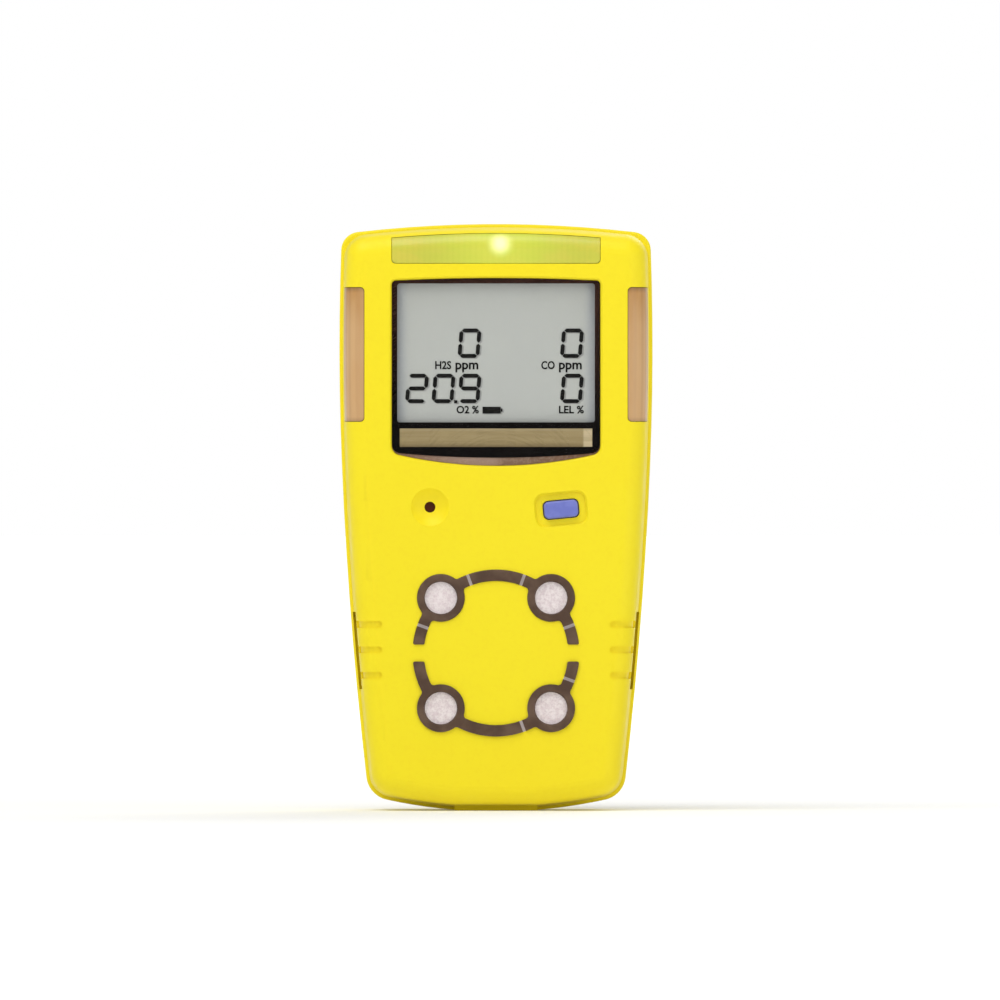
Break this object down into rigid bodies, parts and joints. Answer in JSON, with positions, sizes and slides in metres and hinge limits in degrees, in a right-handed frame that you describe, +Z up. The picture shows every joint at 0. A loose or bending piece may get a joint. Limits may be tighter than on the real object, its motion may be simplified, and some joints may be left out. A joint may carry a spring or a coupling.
{
  "type": "portable gas detector",
  "caption": "Pocket gas detector: display window, push button, sensor ports with a gasket, alarm lenses and a spring clip at the back.",
  "frame": {"origin": "middle of the flat land under the casing, on the surface that it stands on", "axes": "+Z up along the casing, the display faces -Y, the clip is on the +Y side, +X to the right as the display is read"},
  "size_m": [0.0604, 0.0398, 0.113],
  "materials": {
    "casing_yellow": "fine moulded texture",
    "gasket_rubber": "satin black-brown",
    "seal_rubber": "satin",
    "clear_window": "polished",
    "mask_black": "printed film",
    "tape_white": "foam tape",
    "nameplate_khaki": "blank printed strip",
    "lcd_grey": "reflective liquid crystal display",
    "lens_amber": "smoked translucent",
    "lens_green": "lit translucent",
    "led_white": "moulded",
    "button_blue": "satin soft-touch",
    "filter_white": "porous membrane",
    "sensor_shell": "moulded",
    "steel": "plated",
    "clip_steel": "nickel plated, brushed",
    "brass": "knurled",
    "gold": "gold plated",
    "board_green": "glass-fibre laminate with solder mask",
    "black_plastic": "moulded",
    "white_plastic": "diffusing",
    "battery_wrap": "laminated foil pouch",
    "foam_black": "closed-cell foam",
    "lead_red": "silicone insulation",
    "label_silver": "blank polyester label",
    "mesh_black": "woven acoustic mesh",
    "infrared_black": "infrared-clear tint"
  },
  "bodies": {
    "housing": {"front_shell": "casing_yellow", "rear_shell": "casing_yellow", "shell_seal": "seal_rubber", "case_screws": "steel", "threaded_inserts": "brass", "rear_label": "label_silver", "window_lens": "clear_window", "window_tape": "tape_white", "window_mask": "mask_black", "nameplate": "nameplate_khaki", "lcd_panel": "lcd_grey", "backlight_guide": "white_plastic", "lcd_carrier": "white_plastic", "lcd_contact_strip": "seal_rubber", "top_status_lens": "lens_green", "left_alarm_lens": "lens_amber", "right_alarm_lens": "lens_amber", "alarm_leds": "led_white", "status_leds": "led_white", "sounder": "black_plastic", "sounder_gasket": "foam_black", "sounder_membrane": "mesh_black", "vibration_motor": "steel", "motor_sleeve": "seal_rubber", "button_seal": "seal_rubber", "tactile_switch": "black_plastic", "upper_sensor_gasket": "gasket_rubber", "lower_sensor_gasket": "gasket_rubber", "oxygen_filter": "filter_white", "combustible_filter": "filter_white", "hydrogen_sulfide_filter": "filter_white", "carbon_monoxide_filter": "filter_white", "oxygen_sensor": "sensor_shell", "combustible_sensor": "steel", "hydrogen_sulfide_sensor": "sensor_shell", "carbon_monoxide_sensor": "sensor_shell", "sensor_sockets": "gold", "sensor_seals": "foam_black", "display_board": "board_green", "main_board": "board_green", "board_screws": "steel", "board_header": "black_plastic", "circuit_chips": "black_plastic", "battery_cell": "battery_wrap", "battery_guard_board": "board_green", "battery_pad": "foam_black", "battery_plug": "white_plastic", "battery_leads": "lead_red", "infrared_window": "infrared_black", "charging_socket": "black_plastic", "charging_contacts": "gold", "clip_base": "clip_steel", "clip_spring": "steel", "clip_screw": "steel", "clip_pin": "steel"},
    "button": {"button_key": "button_blue"},
    "switch": {"switch_plunger": "white_plastic"},
    "clip": {"clip_lever": "clip_steel"},
    "motor_rotor": {"motor_shaft": "steel", "motor_weight": "brass"}
  },
  "joints": [
    {"name": "button_press", "type": "slide", "parent": "housing", "child": "button", "axis": [0, 1, 0], "range_m": [0, 0.0005], "stiffness_N_per_m": 400, "springref_m": -0.002},
    {"name": "switch_travel", "type": "slide", "parent": "housing", "child": "switch", "axis": [0, 1, 0], "range_m": [0, 0.0005]},
    {"name": "clip_open", "type": "hinge", "parent": "housing", "child": "clip", "pos_m": [0, 0.0182, 0.086], "axis": [1, 0, 0], "range_deg": [0, 28], "stiffness_Nm_per_rad": 0.3, "springref_deg": -45.84, "deforming": ["clip_spring"]},
    {"name": "motor_spin", "type": "hinge", "parent": "housing", "child": "motor_rotor", "pos_m": [0.0026, 0.0015, 0.1066], "axis": [1, 0, 0], "continuous": true}
  ],
  "couplings": [
    {"joint": "switch_travel", "follows": "button_press", "ratio": 1}
  ]
}
